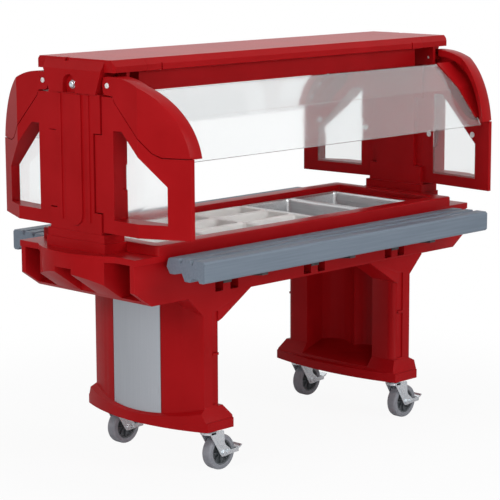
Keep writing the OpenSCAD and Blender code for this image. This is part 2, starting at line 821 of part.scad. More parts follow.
module rail_brackets() {
  color(steel) for (s = [-1, 1], i = [-1 : 1])
    translate([i * arm_pitch, 0, 0]) back_side(s) rail_bracket();
}

module rail_arm() {
  half = arm_w / 2;
  difference() {
    along_x(-half, half) {
      translate([hinge_y, hinge_z]) circle(11);
      polygon([
        [hinge_y, hinge_z - 11], [hinge_y + 30, hinge_z - 20], [rail_in + rail_w - 22, arm_top - 9],
        [rail_in + rail_w - 22, arm_top], [hinge_y + 14, arm_top], [hinge_y, hinge_z + 10]]);
    }
    translate([-half - 1, hinge_y, hinge_z]) rotate([0, 90, 0]) cylinder(h = arm_w + 2, d = pin_d + 2 * bore_gap);
  }
}

module front_rail_arms() { color(steel) for (i = [-1 : 1]) translate([i * arm_pitch, 0, 0]) back_side(-1) rail_arm(); }
module back_rail_arms() { color(steel) for (i = [-1 : 1]) translate([i * arm_pitch, 0, 0]) back_side(1) rail_arm(); }

// ---------- pans ----------

bar_h = 8;
bar_half = well_half_y + 14;
pan_gap = 3;

module divider_bars() {
  color(steel) for (i = [1 : well_count - 1])
    translate([-well_x + i * pan_pitch - bar_w / 2, -bar_half, ledge_z - bar_h]) cube([bar_w, 2 * bar_half, bar_h]);
}

// A pan whose flange rests on the ledge and bars; l runs along X, w front to back
module pan(l, w, colour) {
  body_l = l - 2 * flange_w - 1;
  body_w = w - 2 * flange_w - 1;
  color(colour) translate([0, 0, ledge_z + run_gap]) difference() {
    union() {
      linear_extrude(pan_t) round_rect(l, w, 16);
      translate([0, 0, -pan_depth]) linear_extrude(pan_depth + 1) round_rect(body_l, body_w, 20);
    }
    translate([0, 0, -pan_depth + pan_t]) linear_extrude(pan_depth + pan_t + 1)
      round_rect(body_l - 2 * pan_t, body_w - 2 * pan_t, 20 - pan_t);
  }
}

function place_x(i) = -well_x + (i + 0.5) * pan_pitch;

module full_pan(i) {
  translate([place_x(i), 0, 0]) pan(pan_pitch - pan_gap, pan_l, "silver");
}

// The third-size pan at place i, row k from the front
module third_pan(n) {
  i = floor((n - 1) / 3);
  k = (n - 1) % 3;
  w = pan_l / 3;
  translate([place_x(i), (k - 1) * w, 0]) pan(pan_pitch - pan_gap, w - 1, white);
}

module full_pan_1() { full_pan(third_places); }
module full_pan_2() { full_pan(third_places + 1); }

// ---------- casters ----------

wheel_z = wheel_d / 2;
plate_t = 5;
race_d = 62;
race_h = 14;
yoke_top = caster_h - plate_t - race_h - run_gap;
crown_t = 11;
leg_gap = tyre_w / 2 + 4;
pedal_t = 3;
pedal_x = caster_trail + brake_reach;
pedal_z = wheel_z - 3;
tyre_edge = caster_trail + wheel_d / 2;

module at_caster(n) {
  sx = (n == 1 || n == 2) ? -1 : 1;
  sy = (n == 1 || n == 3) ? -1 : 1;
  translate([sx * caster_x, sy * caster_y, 0]) children();
}

// Cylinder along Y, centred on a place in the caster's side view
module cross_bar(x, z, len_y, d) {
  translate([x, len_y / 2, z]) rotate([90, 0, 0]) cylinder(h = len_y, d = d);
}

module caster_plates() {
  color(steel) for (n = [1 : 4]) at_caster(n) {
    difference() {
      union() {
        translate([0, 0, caster_h - plate_t]) linear_extrude(plate_t) round_rect(plate_l, plate_w, 8);
        translate([0, 0, caster_h - plate_t - race_h]) cylinder(h = race_h + 1, d1 = race_d - 8, d2 = race_d);
      }
      translate([0, 0, caster_h - plate_t - race_h - 1]) cylinder(h = race_h + plate_t - 4, d = 12 + 2 * bore_gap);
    }
    for (sx = [-1, 1], sy = [-1, 1])
      translate([sx * (plate_l / 2 - 14), sy * (plate_w / 2 - 12), caster_h - plate_t - 6]) cylinder(h = 6, d = 13, $fn = 6);
  }
}

// Side plate of the yoke, wide above and drawn in to the axle, with a lobe for the brake's pin
module yoke_leg() {
  along_y(leg_gap, leg_gap + leg_t) difference() {
    union() {
      polygon([
        [-race_d / 2 + 6, yoke_top], [race_d / 2 + 29, yoke_top], [race_d / 2 + 34, wheel_z + 34],
        [pedal_x + 10, pedal_z + 6], [pedal_x + 2, pedal_z - 11], [caster_trail - 10, wheel_z - 14],
        [caster_trail - 16, wheel_z]]);
      translate([caster_trail, wheel_z]) circle(17);
      translate([pedal_x, pedal_z]) circle(11);
    }
    translate([caster_trail, wheel_z]) circle(d = axle_d - 0.5);
  }
  along_y(leg_gap + leg_t - 1, leg_gap + leg_t + pedal_t + 1.5) translate([pedal_x, pedal_z]) circle(d = 8);
}

module caster_yoke(n) {
  color(steel) at_caster(n) {
    for (s = [-1, 1]) back_side(s) yoke_leg();
    translate([0, 0, yoke_top - crown_t]) intersection() {
      cylinder(h = crown_t, d = race_d + 8);
      translate([-race_d, -leg_gap - leg_t, 0]) cube([2 * race_d, 2 * (leg_gap + leg_t), crown_t]);
    }
    translate([0, 0, yoke_top - 1]) cylinder(h = race_h - 2, d = 12);
    // Axle bolt with its head and nut
    cross_bar(caster_trail, wheel_z, 2 * (leg_gap + leg_t), axle_d);
    for (s = [-1, 1]) back_side(s) translate([caster_trail, leg_gap + leg_t + 7, wheel_z]) rotate([90, 0, 0])
      cylinder(h = 7, d = 20, $fn = 6);
  }
}

module wheel_at(n) {
  at_caster(n) translate([caster_trail, 0, wheel_z]) rotate([90, 0, 0]) rotate_extrude() children();
}

core_r = wheel_d / 2 - tyre_t;
hub_half = tyre_w / 2 + 3;
bore_r = axle_d / 2 + bore_gap;

module wheel_core(n) {
  color("dimgray") wheel_at(n) polygon([
    [bore_r, -hub_half], [16, -hub_half], [18, -6], [core_r - 8, -6], [core_r - 5, -tyre_w / 2 + 2],
    [core_r, -tyre_w / 2 + 2], [core_r, tyre_w / 2 - 2], [core_r - 5, tyre_w / 2 - 2],
    [core_r - 8, 6], [18, 6], [16, hub_half], [bore_r, hub_half]]);
}

module tyre(n) {
  r0 = core_r + 0.15;
  r1 = wheel_d / 2;
  shoulder = tyre_w / 2 - 5;
  color("gray") wheel_at(n) {
    translate([r0, -tyre_w / 2]) square([r1 - r0 - 7, tyre_w]);
    translate([r0, -shoulder + 1]) square([r1 - r0, 2 * shoulder - 2]);
    for (s = [-1, 1]) translate([r1 - 7, s * (tyre_w / 2 - 7)]) intersection() {
      circle(7);
      translate([-1, -8]) square([9, 16]);
    }
  }
}

// Foot pedal of the wheel brake: a link outside each leg and a pad past the tyre
module brake_pedal(n) {
  inner = leg_gap + leg_t + 0.5;
  pad_x = tyre_edge + 7;
  tip_x = pedal_x + pedal_l;
  color(steel) at_caster(n) {
    for (s = [-1, 1]) back_side(s) along_y(inner, inner + pedal_t) difference() {
      union() {
        translate([pedal_x, pedal_z]) circle(10);
        polygon([
          [pedal_x, pedal_z - 10], [pad_x + 4, pedal_z - 7], [tip_x - 24, pedal_z + 4],
          [tip_x - 20, pedal_z + 12], [pad_x, pedal_z + 9], [pedal_x, pedal_z + 10]]);
      }
      translate([pedal_x, pedal_z]) circle(d = 8 + 2 * bore_gap);
    }
    along_y(-inner - 1, inner + 1) polygon([
      [pad_x, pedal_z - 5], [tip_x - 26, pedal_z + 4], [tip_x - 10, pedal_z + 8], [tip_x, pedal_z + 18],
      [tip_x - 4, pedal_z + 20], [tip_x - 14, pedal_z + 13], [tip_x - 28, pedal_z + 9], [pad_x, pedal_z]]);
  }
}

tub();
tub_rim();
drain_plug();
left_pedestal();
right_pedestal();
pedestal_panels();
left_post();
right_post();
left_front_wing();
left_back_wing();
right_front_wing();
right_back_wing();
window_panes();
window_screws();
top_beam();
left_end_cap();
right_end_cap();
canopy_bolts();
left_front_guard_arm();
right_front_guard_arm();
left_back_guard_arm();
right_back_guard_arm();
front_guard_panel();
back_guard_panel();
front_guard_screws();
back_guard_screws();
front_tray_rail();
back_tray_rail();
rail_brackets();
front_rail_arms();
back_rail_arms();
divider_bars();
full_pan_1();
full_pan_2();
for (n = [1 : 9]) third_pan(n);
caster_plates();
for (n = [1 : 4]) {
  caster_yoke(n);
  wheel_core(n);
  tyre(n);
  brake_pedal(n);
}
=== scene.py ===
import json
import math
import bpy
import bmesh
from mathutils import Matrix, Vector


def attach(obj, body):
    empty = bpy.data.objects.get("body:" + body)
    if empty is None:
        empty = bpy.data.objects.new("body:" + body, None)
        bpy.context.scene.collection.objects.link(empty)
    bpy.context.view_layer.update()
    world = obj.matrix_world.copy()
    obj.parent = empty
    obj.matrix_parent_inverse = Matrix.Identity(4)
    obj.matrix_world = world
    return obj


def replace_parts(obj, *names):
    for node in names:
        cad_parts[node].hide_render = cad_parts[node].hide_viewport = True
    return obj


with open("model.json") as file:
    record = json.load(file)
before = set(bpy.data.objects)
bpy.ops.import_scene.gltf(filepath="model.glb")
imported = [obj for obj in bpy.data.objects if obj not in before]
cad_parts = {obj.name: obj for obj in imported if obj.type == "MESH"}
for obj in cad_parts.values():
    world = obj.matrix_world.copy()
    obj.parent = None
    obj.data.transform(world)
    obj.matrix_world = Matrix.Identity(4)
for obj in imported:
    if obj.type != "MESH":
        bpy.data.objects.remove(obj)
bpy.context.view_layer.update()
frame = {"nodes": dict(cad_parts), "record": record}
scene = bpy.context.scene
print("frame loaded:", len(frame["nodes"]), "nodes")

# camera, as the photograph was taken
shot = {
    "lens": 139.92,
    "sensor": 36,
    "farClip": 60,
    "aim": (-0.0406, 0.0, 0.8381),
    "distance": 8.6365,
    "azimuth": 0.7928,      # radians, from -Y towards -X
    "elevation": 0.1737,
    "roll": -0.0041,
}


def placeCamera():
    az, el, roll = shot["azimuth"], shot["elevation"], shot["roll"]
    back = Vector((-math.sin(az) * math.cos(el), -math.cos(az) * math.cos(el), math.sin(el)))
    right = Vector((math.cos(az), -math.sin(az), 0))
    up = back.cross(right)
    tiltedRight = right * math.cos(roll) + up * math.sin(roll)
    tiltedUp = up * math.cos(roll) - right * math.sin(roll)
    spot = Vector(shot["aim"]) + back * shot["distance"]
    turn = Matrix((tiltedRight, tiltedUp, back)).transposed().to_4x4()
    data = bpy.data.cameras.new("photoCamera")
    data.sensor_width = shot["sensor"]
    data.lens = shot["lens"]
    data.clip_end = shot["farClip"]
    camera = bpy.data.objects.new("photoCamera", data)
    camera.matrix_world = Matrix.Translation(spot) @ turn
    scene.collection.objects.link(camera)
    scene.camera = camera


placeCamera()
print("camera placed")

# studio
studio = {
    "worldLevel": 0.30,
    "plainWhite": (1, 1, 1, 1),
    "lamps": [
        # name, place, size, watts
        ("frontLamp", (0.9, -4.6, 2.8), 2.2, 66),
        ("endLamp", (-4.6, -0.8, 3.0), 2.2, 72),
        ("topLamp", (0.2, -0.4, 5.2), 2.6, 46),
        ("lowLamp", (-2.4, -4.4, 0.9), 1.6, 30),
    ],
    "lampAim": (0, 0, 0.8),
    "floorHalf": 24,
    "floorWhite": (0.86, 0.86, 0.87, 1),
    "floorRoughness": 0.8,
    "floorSpecular": 0.1,
    "floorFade": (1.0, 2.6),    # the floor's shading fades to plain white between these radii
    "floorGlow": 0.93,          # share of plain white under the object itself
}


def mathNode(nodes, operation):
    node = nodes.new("ShaderNodeMath")
    node.operation = operation
    return node


def lightStudio():
    world = bpy.data.worlds.new("studioWorld")
    scene.world = world
    world.use_nodes = True
    nodes, links = world.node_tree.nodes, world.node_tree.links
    nodes.clear()
    out = nodes.new("ShaderNodeOutputWorld")
    soft = nodes.new("ShaderNodeBackground")
    soft.inputs["Color"].default_value = studio["plainWhite"]
    soft.inputs["Strength"].default_value = studio["worldLevel"]
    white = nodes.new("ShaderNodeBackground")
    white.inputs["Color"].default_value = studio["plainWhite"]
    white.inputs["Strength"].default_value = 1.0
    path = nodes.new("ShaderNodeLightPath")
    first = mathNode(nodes, "MAXIMUM")
    second = mathNode(nodes, "MAXIMUM")
    mix = nodes.new("ShaderNodeMixShader")
    links.new(path.outputs["Is Camera Ray"], first.inputs[0])
    links.new(path.outputs["Is Transmission Ray"], first.inputs[1])
    links.new(first.outputs[0], second.inputs[0])
    links.new(path.outputs["Is Glossy Ray"], second.inputs[1])
    links.new(second.outputs[0], mix.inputs["Fac"])
    links.new(soft.outputs[0], mix.inputs[1])
    links.new(white.outputs[0], mix.inputs[2])
    links.new(mix.outputs[0], out.inputs["Surface"])
    for name, place, size, watts in studio["lamps"]:
        data = bpy.data.lights.new(name, "AREA")
        data.shape = "DISK"
        data.size = size
        data.energy = watts
        lamp = bpy.data.objects.new(name, data)
        lamp.location = place
        aim = Vector(studio["lampAim"]) - Vector(place)
        lamp.rotation_euler = aim.to_track_quat("-Z", "Y").to_euler()
        scene.collection.objects.link(lamp)


def layFloor():
    mesh = bpy.data.meshes.new("studioFloor")
    half = studio["floorHalf"]
    corners = [(-half, -half, 0), (half, -half, 0), (half, half, 0), (-half, half, 0)]
    mesh.from_pydata(corners, [], [(0, 1, 2, 3)])
    floor = bpy.data.objects.new("studioFloor", mesh)
    scene.collection.objects.link(floor)
    paint = bpy.data.materials.new("studioFloor")
    paint.use_nodes = True
    nodes, links = paint.node_tree.nodes, paint.node_tree.links
    shade = nodes["Principled BSDF"]
    shade.inputs["Base Color"].default_value = studio["floorWhite"]
    shade.inputs["Roughness"].default_value = studio["floorRoughness"]
    shade.inputs["Specular IOR Level"].default_value = studio["floorSpecular"]
    glow = nodes.new("ShaderNodeEmission")
    glow.inputs["Strength"].default_value = 1.0
    place = nodes.new("ShaderNodeTexCoord")
    reach = nodes.new("ShaderNodeVectorMath")
    reach.operation = "LENGTH"
    fade = nodes.new("ShaderNodeMapRange")
    fade.interpolation_type = "SMOOTHSTEP"
    fade.inputs["From Min"].default_value = studio["floorFade"][0]
    fade.inputs["From Max"].default_value = studio["floorFade"][1]
    fade.inputs["To Min"].default_value = studio["floorGlow"]
    path = nodes.new("ShaderNodeLightPath")
    seen = mathNode(nodes, "MAXIMUM")
    both = mathNode(nodes, "MULTIPLY")
    mix = nodes.new("ShaderNodeMixShader")
    links.new(place.outputs["Object"], reach.inputs[0])
    links.new(reach.outputs["Value"], fade.inputs["Value"])
    links.new(path.outputs["Is Camera Ray"], seen.inputs[0])
    links.new(path.outputs["Is Transmission Ray"], seen.inputs[1])
    links.new(fade.outputs["Result"], both.inputs[0])
    links.new(seen.outputs[0], both.inputs[1])
    links.new(both.outputs[0], mix.inputs["Fac"])
    links.new(shade.outputs[0], mix.inputs[1])
    links.new(glow.outputs[0], mix.inputs[2])
    links.new(mix.outputs[0], nodes["Material Output"].inputs["Surface"])
    floor.data.materials.append(paint)


lightStudio()
layFloor()
scene.view_settings.view_transform = "Standard"
print("studio lit")

# finishes
finishSettings = {
    # by material slot. sockets: the shader's own values
    # mottle: dark, light, scale, then stretch and detail; grain: scale, depth, low, high, then stretch
    "moulded_red": {
        "name": "mouldedRed", "colour": (0.37, 0.006, 0.010),
        "sockets": {"Roughness": 0.32, "Specular IOR Level": 0.08},
        "mottle": ((0.355, 0.004, 0.006), (0.41, 0.006, 0.009), 5),
        "grain": (420, 0.0005, 0.27, 0.38),
    },
    "rail_slate": {
        "name": "slateRail", "colour": (0.17, 0.22, 0.28),
        "sockets": {"Roughness": 0.5},
        "mottle": ((0.145, 0.185, 0.235), (0.185, 0.230, 0.285), 26, (0.12, 4, 4), 5),
        "grain": (500, 0.0005, 0.42, 0.60),
    },
    "cover_panel": {
        "name": "brushedPanel", "colour": (0.50, 0.53, 0.57),
        "sockets": {"Roughness": 0.42, "Metallic": 1.0},
        "mottle": ((0.485, 0.515, 0.555), (0.52, 0.55, 0.59), 340, (1, 1, 0.012), 5),
        "grain": (700, 0.00008, 0.38, 0.50, (1, 1, 0.01)),
    },
    "clear_sheet": {
        "name": "clearSheet", "colour": (0.97, 0.985, 0.99),
        "sockets": {"Roughness": 0.05, "Transmission Weight": 0.90, "IOR": 1.42},
        "grain": (14, 0.0002, 0.02, 0.10),
    },
    "zinc_plate": {
        "name": "zincPlate", "colour": (0.74, 0.79, 0.82),
        "sockets": {"Roughness": 0.28, "Metallic": 0.85},
        "mottle": ((0.66, 0.72, 0.76), (0.82, 0.86, 0.89), 90),
        "grain": (300, 0.0003, 0.20, 0.36),
    },
    # near-black steel; on the nodes under the rail it is painted shade from the rail above them
    "arm_steel": {
        "name": "armSteelPaintedShade", "colour": (0.07, 0.065, 0.07),
        "sockets": {"Roughness": 0.45, "Metallic": 0.6},
        "mottle": ((0.055, 0.05, 0.055), (0.09, 0.085, 0.09), 60),
        "grain": (400, 0.0003, 0.38, 0.52),
    },
    "pan_steel": {
        "name": "panSteel", "colour": (0.60, 0.61, 0.62),
        "sockets": {"Roughness": 0.3, "Metallic": 1.0},
        "mottle": ((0.54, 0.55, 0.56), (0.66, 0.67, 0.68), 120, (1, 0.04, 1), 4),
        "grain": (320, 0.0002, 0.22, 0.38, (1, 0.03, 1)),
    },
    "pan_white": {
        "name": "panWhite", "colour": (0.90, 0.90, 0.88),
        "sockets": {"Roughness": 0.3},
        "mottle": ((0.88, 0.88, 0.86), (0.92, 0.92, 0.90), 12),
        "grain": (600, 0.0002, 0.24, 0.36),
    },
    "white_hardware": {
        "name": "whiteHardware", "colour": (0.80, 0.80, 0.80),
        "sockets": {"Roughness": 0.35},
        "mottle": ((0.74, 0.74, 0.74), (0.84, 0.84, 0.84), 80),
        "grain": (900, 0.0002, 0.3, 0.45),
    },
    "wheel_core": {
        "name": "wheelCore", "colour": (0.09, 0.10, 0.11),
        "sockets": {"Roughness": 0.5},
        "mottle": ((0.07, 0.08, 0.09), (0.12, 0.13, 0.14), 60),
        "grain": (700, 0.0003, 0.42, 0.6),
    },
    "tyre_grey": {
        "name": "tyreGrey", "colour": (0.27, 0.28, 0.31),
        "sockets": {"Roughness": 0.6},
        "mottle": ((0.24, 0.25, 0.28), (0.31, 0.32, 0.355), 40),
        "grain": (800, 0.0004, 0.5, 0.75),
    },
    "drain_fitting": {
        "name": "drainFitting", "colour": (0.12, 0.12, 0.13),
        "sockets": {"Roughness": 0.5},
        "mottle": ((0.10, 0.10, 0.11), (0.15, 0.15, 0.16), 60),
        "grain": (700, 0.0003, 0.4, 0.6),
    },
}
finishDetail = {
    "mottleRange": (0.3, 0.7),      # where the two tones start and end
    "grainDetail": 4,
    "bumpStrength": 0.35,
}


def stretchedNoise(nodes, links, scale, detail, stretch):
    place = nodes.new("ShaderNodeTexCoord")
    spread = nodes.new("ShaderNodeMapping")
    spread.inputs["Scale"].default_value = stretch
    noise = nodes.new("ShaderNodeTexNoise")
    noise.inputs["Scale"].default_value = scale
    noise.inputs["Detail"].default_value = detail
    links.new(place.outputs["Object"], spread.inputs["Vector"])
    links.new(spread.outputs[0], noise.inputs["Vector"])
    return noise


def mottle(paint, shade, dark, light, scale, stretch=(1, 1, 1), detail=3):
    # Colour drifting between two tones over the object's own place
    nodes, links = paint.node_tree.nodes, paint.node_tree.links
    cloud = stretchedNoise(nodes, links, scale, detail, stretch)
    ramp = nodes.new("ShaderNodeValToRGB")
    for stop, at, tone in zip(ramp.color_ramp.elements, finishDetail["mottleRange"], (dark, light)):
        stop.position = at
        stop.color = (*tone, 1)
    links.new(cloud.outputs["Fac"], ramp.inputs["Fac"])
    links.new(ramp.outputs["Color"], shade.inputs["Base Color"])


def grain(paint, shade, scale, depth, low, high, stretch=(1, 1, 1)):
    # Fine relief and a matching change of gloss
    nodes, links = paint.node_tree.nodes, paint.node_tree.links
    speck = stretchedNoise(nodes, links, scale, finishDetail["grainDetail"], stretch)
    bump = nodes.new("ShaderNodeBump")
    bump.inputs["Strength"].default_value = finishDetail["bumpStrength"]
    bump.inputs["Distance"].default_value = depth
    gloss = nodes.new("ShaderNodeMapRange")
    gloss.inputs["To Min"].default_value = low
    gloss.inputs["To Max"].default_value = high
    links.new(speck.outputs["Fac"], bump.inputs["Height"])
    links.new(bump.outputs["Normal"], shade.inputs["Normal"])
    links.new(speck.outputs["Fac"], gloss.inputs["Value"])
    links.new(gloss.outputs["Result"], shade.inputs["Roughness"])


def makeFinish(settings):
    paint = bpy.data.materials.new(settings["name"])
    paint.use_nodes = True
    shade = paint.node_tree.nodes["Principled BSDF"]
    shade.inputs["Base Color"].default_value = (*settings["colour"], 1)
    for socket, value in settings["sockets"].items():
        shade.inputs[socket].default_value = value
    if "mottle" in settings:
        mottle(paint, shade, *settings["mottle"])
    grain(paint, shade, *settings["grain"])
    return paint


finishes = {slot: makeFinish(settings) for slot, settings in finishSettings.items()}
print("finishes made")

# mesh tools shared by the pieces
meshing = {
    "sharpAngle": 32,       # degrees, for shading
    "bevelAngle": 28,       # degrees, least turn that a bevel softens
    "weld": 0.00001,
    "cleanMerge": 2e-6,
    "cleanAngle": 0.004,    # radians
    "cornerShare": 0.48,    # most of a side that one rounded corner takes
    "cornerStep": 15,       # degrees
    "hexRatio": 1.732,      # across flats over the corner's radius
    "hexFace": (0.84, 0.78),    # turned-down face: share of the radius, share of the height
}
quarterTurn = [math.radians(18 * k) for k in range(6)]


def addPiece(name, bm, finish, body, sharp=meshing["sharpAngle"]):
    bm.normal_update()
    bmesh.ops.recalc_face_normals(bm, faces=bm.faces)
    mesh = bpy.data.meshes.new(name)
    bm.to_mesh(mesh)
    bm.free()
    mesh.shade_smooth()
    mesh.set_sharp_from_angle(angle=math.radians(sharp))
    mesh.materials.append(finishes[finish])
    obj = bpy.data.objects.new(name, mesh)
    scene.collection.objects.link(obj)
    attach(obj, body)
    return obj


def softenEdges(obj, width, steps, weld=False):
    if weld:    # carried-over meshes come with their faces apart
        join = obj.modifiers.new("join", "WELD")
        join.merge_threshold = meshing["weld"]
    soften = obj.modifiers.new("soften", "BEVEL")
    soften.width = width
    soften.segments = steps
    soften.limit_method = "ANGLE"
    soften.angle_limit = math.radians(meshing["bevelAngle"])
    soften.harden_normals = True


def loft(bm, rings, closed=False):
    made = [[bm.verts.new(point) for point in ring] for ring in rings]
    count = len(made[0])
    for first, second in zip(made, made[1:] + (made[:1] if closed else [])):
        for k in range(count):
            bm.faces.new((first[k], first[(k + 1) % count], second[(k + 1) % count], second[k]))
    if not closed:
        bm.faces.new(made[0])
        bm.faces.new(made[-1])


def roundedPlan(halfX, halfY, radius, z, place=(0, 0), steps=6):
    points = []
    for sx, sy, start in ((1, 1, 0), (-1, 1, 90), (-1, -1, 180), (1, -1, 270)):
        for k in range(steps + 1):
            turn = math.radians(start + 90 * k / steps)
            points.append((place[0] + sx * (halfX - radius) + radius * math.cos(turn),
                           place[1] + sy * (halfY - radius) + radius * math.sin(turn), z))
    return points


def turned(bm, profile, place, axis=(0, 0, 1), steps=32, closed=False):
    # Profile of (radius, height) turned about an axis that starts at place
    turn = Vector(axis).to_track_quat("Z", "Y")
    angles = [2 * math.pi * k / steps for k in range(steps)]
    rings = [[turn @ Vector((r * math.cos(a), r * math.sin(a), h)) + Vector(place) for a in angles]
             for r, h in profile]
    loft(bm, rings, closed)


def mirrored(profile):
    # Half profile followed by its mirror image on the other side of height 0
    return profile + [(r, -h) for r, h in profile[::-1]]


def plate(bm, outline, start, end):
    # Flat outline in X and Z made solid between two places along Y
    loft(bm, [[(u, depth, v) for u, v in outline] for depth in (start, end)])


def softOutline(corners):
    # Outline whose corners (u, v, radius) are rounded
    points = []
    count = len(corners)
    for k, (u, v, radius) in enumerate(corners):
        here = Vector((u, v))
        before = Vector(corners[k - 1][:2]) - here
        after = Vector(corners[(k + 1) % count][:2]) - here
        half = before.angle(after) / 2
        share = meshing["cornerShare"]
        reach = min(radius / math.tan(half), before.length * share, after.length * share)
        radius = reach * math.tan(half)
        start = here + before.normalized() * reach
        end = here + after.normalized() * reach
        inward = (before.normalized() + after.normalized()).normalized()
        centre = here + inward * (radius / math.sin(half))
        a = math.atan2(start.y - centre.y, start.x - centre.x)
        b = math.atan2(end.y - centre.y, end.x - centre.x)
        sweep = (b - a + math.pi) % (2 * math.pi) - math.pi
        steps = max(2, int(abs(sweep) / math.radians(meshing["cornerStep"])) + 1)
        for n in range(steps + 1):
            turn = a + sweep * n / steps
            points.append((centre.x + radius * math.cos(turn), centre.y + radius * math.sin(turn)))
    return points


def hexHead(bm, place, axis, across, thick):
    # Bolt head with a turned-down outer face
    radius = across / meshing["hexRatio"]
    faceShare, faceFrom = meshing["hexFace"]
    turned(bm, [(radius, 0), (radius, thick * faceFrom), (radius * faceShare, thick)], place, axis, 6)


screwHead = {
    "dome": ((1, 0), (1, 0.3), (0.95, 0.58), (0.8, 0.86)),      # shares of the radius and height
    "mouth": (1.4, 1.18),       # flat ring about the socket, as shares of the socket
    "socket": (0.96, 0.3),      # heights between which the socket's wall runs
    "steps": 30,
}


def socketHead(bm, place, aim, radius, height, socket):
    # Domed screw head with a six-sided socket, standing on place
    turn = Vector(aim).to_track_quat("Z", "Y")
    steps = screwHead["steps"]
    angles = [2 * math.pi * k / steps for k in range(steps)]
    profile = [(radius * r, height * h) for r, h in screwHead["dome"]]
    profile += [(socket * r, height) for r in screwHead["mouth"]]
    rings = [[(r * math.cos(a), r * math.sin(a), h) for a in angles] for r, h in profile]
    sixth = math.pi / 3
    sides = [socket * math.cos(sixth / 2) / math.cos((a % sixth) - sixth / 2) for a in angles]
    for share in screwHead["socket"]:
        rings.append([(r * math.cos(a), r * math.sin(a), height * share) for r, a in zip(sides, angles)])
    loft(bm, [[turn @ Vector(p) + Vector(place) for p in ring] for ring in rings])


def cleanCopy(node):
    bm = bmesh.new()
    bm.from_mesh(frame["nodes"][node].data)
    bmesh.ops.remove_doubles(bm, verts=bm.verts, dist=meshing["cleanMerge"])
    bmesh.ops.dissolve_limit(bm, angle_limit=meshing["cleanAngle"], verts=bm.verts[:], edges=bm.edges[:])
    return bm


def bitsOf(node):
    # Low corner, high corner and main direction of each separate bit of a node, in the mesh's own order
    bm = cleanCopy(node)
    seen = set()
    bits = []
    for first in bm.faces:
        if first in seen:
            continue
        seen.add(first)
        group = [first]
        for face in group:      # the group grows as it is walked
            for other in (near for edge in face.edges for near in edge.link_faces):
                if other not in seen:
                    seen.add(other)
                    group.append(other)
        spots = [v.co for face in group for v in face.verts]
        low = Vector([min(p[i] for p in spots) for i in range(3)])
        high = Vector([max(p[i] for p in spots) for i in range(3)])
        bits.append((low, high, max(group, key=lambda f: f.calc_area()).normal.copy()))
    bm.free()
    return bits


slotOf = {row["node"]: row["material_slot"] for row in frame["record"]["subparts"]}
print("mesh tools ready")

# moulded bodies: the frame's shapes with eased corners
mouldings = {
    # per node: width and steps of every other edge, then rounds as
    # low and high corner (distances from the middle planes), direction, radius, steps
    # radii are as asked for: Blender's overlap limit makes them smaller on these meshes
    "tub": {
        "edge": (0.0045, 3),
        "rounds": [
            ((1.00, 0.0, 0.820), (1.20, 0.40, 0.900), "y", 0.040, 7),
            ((0.97, 0.0, 0.780), (1.20, 0.40, 0.955), None, 0.0075, 3),
        ],
    },
    "pedestal": {
        "edge": (0.0045, 3),
        "rounds": [
            ((0.30, 0.0, 0.620), (0.80, 0.40, 0.720), "y", 0.045, 6),
        ],
    },
    "leastTurn": 24,    # degrees, least turn of an edge that is rounded
    "along": 0.9,       # how closely an edge follows its direction
    "sortLine": (1, 1.618, 2.718),
}


def edgesToRound(bm, low, high, along):
    picked = []
    for edge in bm.edges:
        if len(edge.link_faces) != 2 or edge.calc_face_angle(0) < math.radians(mouldings["leastTurn"]):
            continue
        ends = [vert.co for vert in edge.verts]
        spot = [abs(c) for c in (ends[0] + ends[1]) / 2]
        run = (ends[0] - ends[1]).normalized()
        if along and abs(run["xyz".index(along)]) < mouldings["along"]:
            continue
        if all(a <= c <= b for a, c, b in zip(low, spot, high)):
            picked.append(edge)
    return picked


def makeMoulding(name, node, settings):
    bm = cleanCopy(node)
    for low, high, along, radius, steps in settings["rounds"]:
        bmesh.ops.bevel(bm, geom=edgesToRound(bm, low, high, along), offset=radius, segments=steps,
                        profile=0.5, affect="EDGES", clamp_overlap=True)
    # The bevel makes its faces in a new order each run, so they are put in order along a line
    bm.faces.sort(key=lambda face: face.calc_center_median().dot(Vector(mouldings["sortLine"])))
    obj = addPiece(name, bm, slotOf[node], "frame")
    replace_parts(obj, node)
    softenEdges(obj, *settings["edge"])


rim = {
    "outside": (0.9325, 0.360, 0.022),      # half length, half width, corner
    "opening": (0.8705, 0.285, 0.014),
    "low": 0.968,
    "high": 1.010,
    "round": 0.007,
}


def makeRim():
    bm = bmesh.new()
    rings = []
    for (x, y, r), inward in ((rim["outside"], -1), (rim["opening"], 1)):
        side = [roundedPlan(x, y, r, rim["low"])]
        for a in quarterTurn:
            shift = inward * rim["round"] * (1 - math.cos(a))
            z = rim["high"] - rim["round"] * (1 - math.sin(a))
            side.append(roundedPlan(x + shift, y + shift, r + shift, z))
        rings += side if inward < 0 else side[::-1]
    loft(bm, rings, closed=True)
    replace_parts(addPiece("tubRim", bm, "moulded_red", "frame"), "tub_rim")


makeMoulding("tubBody", "tub", mouldings["tub"])
makeMoulding("leftPedestalBody", "left_pedestal", mouldings["pedestal"])
makeMoulding("rightPedestalBody", "right_pedestal", mouldings["pedestal"])
makeRim()
print("moulded bodies made")

# casters: plate, yoke, wheel and tyre. Profiles are (radius, height) in the order they are turned
casters = {
    "middles": ((-0.597, -0.300), (-0.597, 0.300), (0.597, -0.300), (0.597, 0.300)),
    "trail": 0.056,
    "wheelZ": 0.076,
}
topPlate = {
    "low": 0.188,
    "high": 0.1928,
    "half": (0.057, 0.0475),
    "corner": 0.008,
    "ease": 0.0008,
    "race": [(0.0068, 0.1742), (0.0250, 0.1742), (0.0280, 0.1765), (0.0275, 0.1790), (0.0300, 0.1795),
             (0.0310, 0.1815), (0.0310, 0.1865), (0.0330, 0.1884), (0.0068, 0.1884)],
    "raceSteps": 40,
    "boltAt": (0.043, 0.0355),
    "washer": [(0.0085, 0.0002), (0.0085, 0.0014), (0.0078, 0.0018)],
    "washerSteps": 24,
    "bolt": (0.0115, 0.0046),   # across flats, height
    "boltSeat": 0.0016,
}


